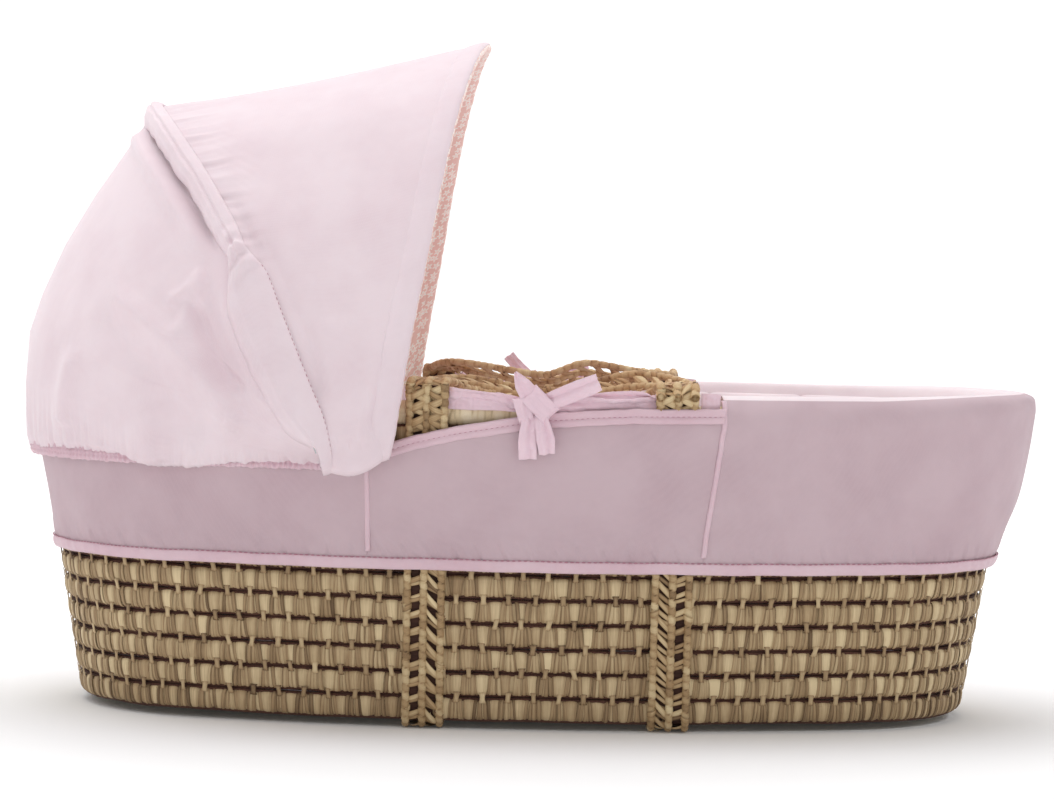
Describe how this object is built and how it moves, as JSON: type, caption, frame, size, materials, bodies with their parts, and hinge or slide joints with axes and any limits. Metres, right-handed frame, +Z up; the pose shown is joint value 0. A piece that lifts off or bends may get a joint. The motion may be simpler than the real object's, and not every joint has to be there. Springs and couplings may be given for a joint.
{
  "type": "woven moses basket cradle",
  "caption": "Oval woven palm cradle with fabric skirt and liner, folding arched hood, ribbon ties, loose mattress and two flexible carry handles.",
  "frame": {"origin": "middle of the basket's length and width, on the surface its two straps stand on", "axes": "+X towards the foot end, -X towards the hooded head end, +Z up, -Y the near long side"},
  "size_m": [0.854, 0.4858, 0.5638],
  "materials": {
    "woven_palm": "matte",
    "woven_base": "matte",
    "rim_palm": "matte",
    "strap_palm": "matte",
    "handle_palm": "matte",
    "liner_fabric": "matte",
    "skirt_fabric": "matte",
    "binding_fabric": "matte",
    "ribbon_fabric": "matte",
    "mattress_foam": "matte",
    "mattress_fabric": "matte",
    "clip_plastic": "satin",
    "pin_steel": "satin",
    "bow_wire": "satin",
    "hood_fabric": "matte",
    "lining_fabric": "matte"
  },
  "bodies": {
    "basket": {"wall_course_01": "woven_palm", "wall_course_02": "woven_palm", "wall_course_03": "woven_palm", "wall_course_04": "woven_palm", "wall_course_05": "woven_palm", "wall_course_06": "woven_palm", "wall_course_07": "woven_palm", "wall_course_08": "woven_palm", "wall_course_09": "woven_palm", "wall_course_10": "woven_palm", "wall_course_11": "woven_palm", "wall_course_12": "woven_palm", "base_course_1": "woven_base", "base_course_2": "woven_base", "base_course_3": "woven_base", "base_course_4": "woven_base", "base_course_5": "woven_base", "base_course_6": "woven_base", "base_core": "woven_base", "rim_roll": "rim_palm", "strap_head": "strap_palm", "strap_foot": "strap_palm", "liner": "liner_fabric", "skirt_head_panel": "skirt_fabric", "skirt_foot_panel": "skirt_fabric", "skirt_side_panel_near": "skirt_fabric", "skirt_side_panel_far": "skirt_fabric", "side_panel_binding_near": "binding_fabric", "side_panel_binding_far": "binding_fabric", "skirt_hem_binding": "binding_fabric", "tie_ribbon_near_head": "ribbon_fabric", "tie_ribbon_near_foot": "ribbon_fabric", "tie_ribbon_far_head": "ribbon_fabric", "tie_ribbon_far_foot": "ribbon_fabric", "tie_bow_near": "ribbon_fabric", "tie_bow_far": "ribbon_fabric", "hood_clip_near": "clip_plastic", "hood_clip_far": "clip_plastic", "hood_pin_near": "pin_steel", "hood_pin_far": "pin_steel", "hood_rear_panel": "hood_fabric", "hood_rear_lining": "lining_fabric", "hood_elastic_hem": "hood_fabric"},
    "hood_mid": {"hood_mid_bow": "bow_wire", "hood_mid_casing": "hood_fabric"},
    "hood_front": {"hood_front_bow": "bow_wire", "hood_front_casing": "hood_fabric", "hood_front_panel": "hood_fabric", "hood_front_lining": "lining_fabric"},
    "handle_near": {"handle_near": "handle_palm"},
    "handle_far": {"handle_far": "handle_palm"},
    "mattress": {"mattress_foam": "mattress_foam", "mattress_cover": "mattress_fabric"}
  },
  "joints": [
    {"name": "hood_fold", "type": "hinge", "parent": "basket", "child": "hood_mid", "pos_m": [-0.138, 0, 0.223], "axis": [0, -1, 0], "range_deg": [0, 45], "deforming": ["hood_rear_panel", "hood_rear_lining", "hood_mid_casing"]},
    {"name": "hood_front_fold", "type": "hinge", "parent": "hood_mid", "child": "hood_front", "pos_m": [-0.138, 0, 0.223], "axis": [0, -1, 0], "range_deg": [0, 42], "deforming": ["hood_front_panel", "hood_front_lining", "hood_front_casing"]},
    {"name": "handle_near_lift", "type": "hinge", "parent": "basket", "child": "handle_near", "pos_m": [0.02, -0.221, 0.276], "axis": [1, 0, 0], "range_deg": [0, 100]},
    {"name": "handle_far_lift", "type": "hinge", "parent": "basket", "child": "handle_far", "pos_m": [0.02, 0.221, 0.276], "axis": [-1, 0, 0], "range_deg": [0, 100]},
    {"name": "mattress_lift", "type": "slide", "parent": "basket", "child": "mattress", "axis": [0, 0, 1], "range_m": [0, 0.17]}
  ],
  "couplings": [
    {"joint": "hood_front_fold", "follows": "hood_fold", "ratio": 0.9333}
  ]
}
